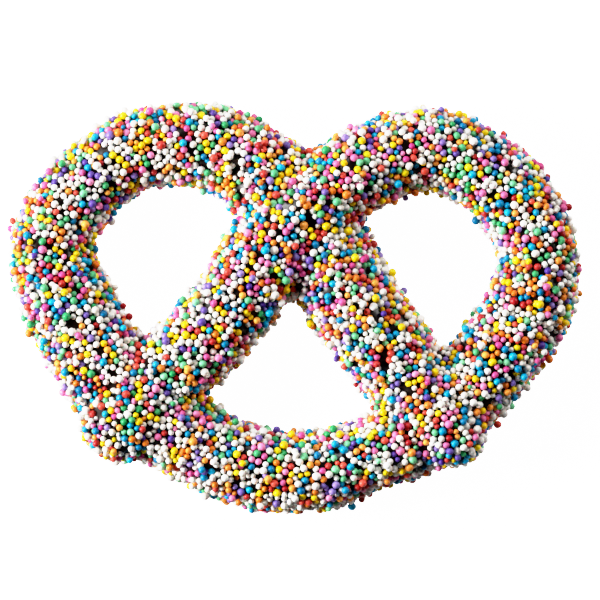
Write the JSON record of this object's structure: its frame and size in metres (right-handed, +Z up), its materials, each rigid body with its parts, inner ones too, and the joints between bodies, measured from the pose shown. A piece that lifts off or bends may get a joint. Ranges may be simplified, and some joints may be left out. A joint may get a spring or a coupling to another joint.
{
  "type": "chocolate covered pretzel",
  "caption": "Twisted pretzel in dark chocolate, coated all over with round sugar nonpareils in mixed colours; it lies flat on its underside.",
  "frame": {"origin": "bottom centre of the overall box, on the surface that the pretzel lies on", "axes": "+X across the pretzel from its left loop to its right loop, +Y from the belly and the two feet towards the two loops, +Z up, out of the shown side"},
  "size_m": [0.0837, 0.0597, 0.0142],
  "materials": {
    "dark_chocolate": "set dark couverture chocolate, satin gloss",
    "white_sugar": "confectioner's glazed sugar, white",
    "pink_sugar": "confectioner's glazed sugar, pink",
    "coral_sugar": "confectioner's glazed sugar, coral red",
    "orange_sugar": "confectioner's glazed sugar, orange",
    "yellow_sugar": "confectioner's glazed sugar, yellow",
    "mint_sugar": "confectioner's glazed sugar, mint green",
    "blue_sugar": "confectioner's glazed sugar, turquoise blue",
    "violet_sugar": "confectioner's glazed sugar, violet"
  },
  "bodies": {
    "root": {"pretzel": "dark_chocolate"}
  },
  "joints": []
}
